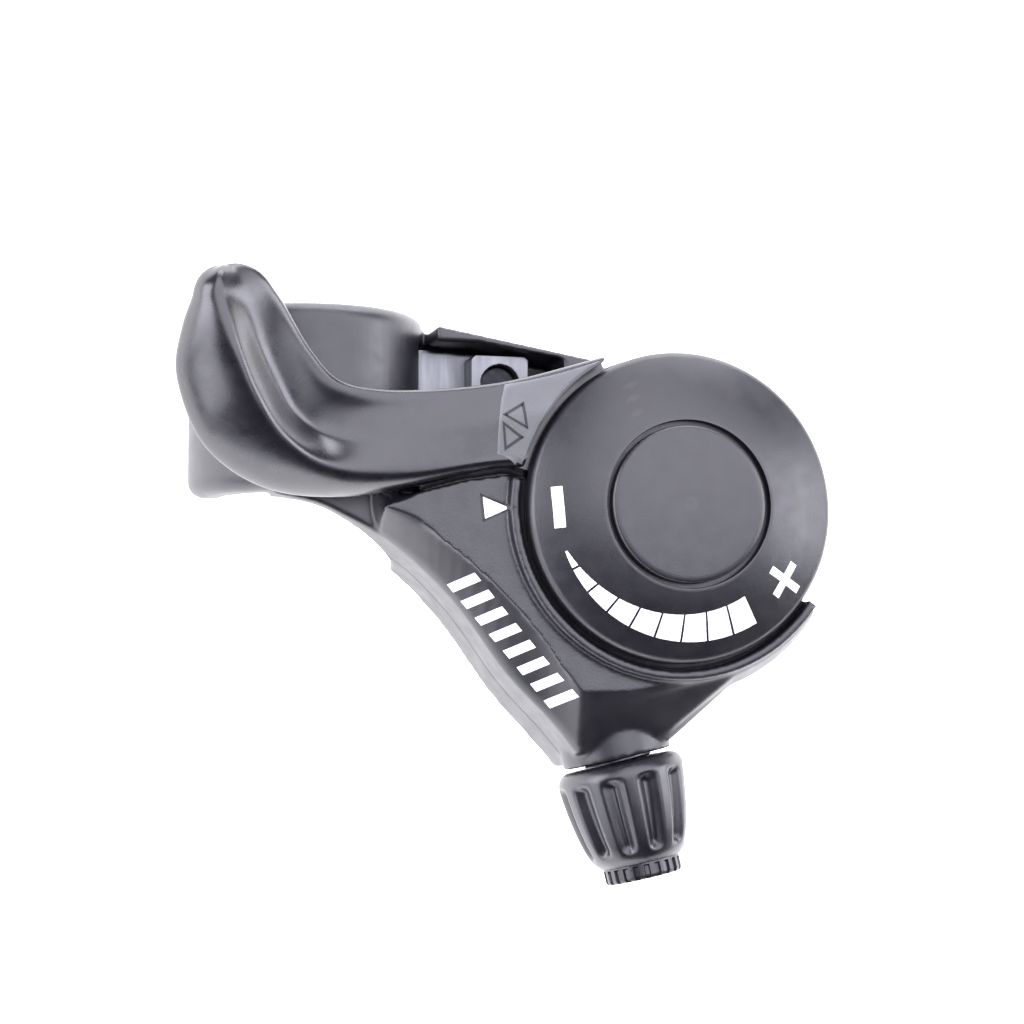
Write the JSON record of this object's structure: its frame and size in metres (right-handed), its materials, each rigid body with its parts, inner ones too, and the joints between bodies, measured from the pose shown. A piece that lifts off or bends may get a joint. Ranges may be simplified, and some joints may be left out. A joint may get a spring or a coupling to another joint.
{
  "type": "thumb shifter",
  "caption": "Friction thumb shifter for a bicycle handlebar: clamped bracket, thumb lever turning a cable drum under a gauge dial, and a barrel adjuster.",
  "frame": {"origin": "centre of the handlebar bore, in the middle of the clamp band", "axes": "+Y along the handlebar, +X from the bar towards the dial, +Z along the dial's axis towards the rider"},
  "size_m": [0.0837, 0.0745, 0.0415],
  "materials": {
    "housing_plastic": "moulded nylon, matte with a fine grain on the flat top",
    "lever_plastic": "smooth satin gloss",
    "dial_plastic": "fine grained matte",
    "knob_plastic": "satin gloss, fluted",
    "band_steel": "zinc plated sheet",
    "fastener_steel": "plated, machined",
    "brass": "machined",
    "nylon": "natural moulded nylon",
    "fibre": "pressed friction fibre",
    "white_ink": "pad printed white"
  },
  "bodies": {
    "root": {"bracket": "housing_plastic", "clamp_band": "band_steel", "clamp_bolt": "fastener_steel", "clamp_washer": "fastener_steel", "clamp_nut": "band_steel", "base_plate": "band_steel", "base_screws": "fastener_steel", "pivot_post": "fastener_steel", "thrust_washer": "nylon", "friction_washer": "fibre", "spring_washer": "fastener_steel", "keyed_washer": "fastener_steel", "pivot_screw": "fastener_steel", "pointer_mark": "white_ink", "adjuster_insert": "brass", "adjuster_spring": "fastener_steel"},
    "lever_body": {"lever": "lever_plastic", "cable_drum": "nylon", "pivot_bush": "brass", "hub_screws": "fastener_steel", "dial_cover": "dial_plastic", "gauge_marks": "white_ink", "centre_cap": "dial_plastic"},
    "adjuster_carriage": {"click_washer": "fastener_steel"},
    "adjuster_body": {"adjuster_knob": "knob_plastic", "adjuster_barrel": "brass"}
  },
  "joints": [
    {"name": "lever_turn", "type": "hinge", "parent": "root", "child": "lever_body", "pos_m": [0.0438, -0.0157, 0], "axis": [0, 0, -1], "range_deg": [0, 143]},
    {"name": "adjuster_slide", "type": "slide", "parent": "root", "child": "adjuster_carriage", "axis": [0.2284, -0.9736, 0], "range_m": [0, 0.004]},
    {"name": "adjuster_turn", "type": "hinge", "parent": "adjuster_carriage", "child": "adjuster_body", "pos_m": [0.03891, -0.04694, 0.008], "axis": [0.2284, -0.9736, 0], "range_deg": [0, 1800]}
  ],
  "couplings": [
    {"joint": "adjuster_turn", "follows": "adjuster_slide", "rad_per_m": 7854}
  ]
}
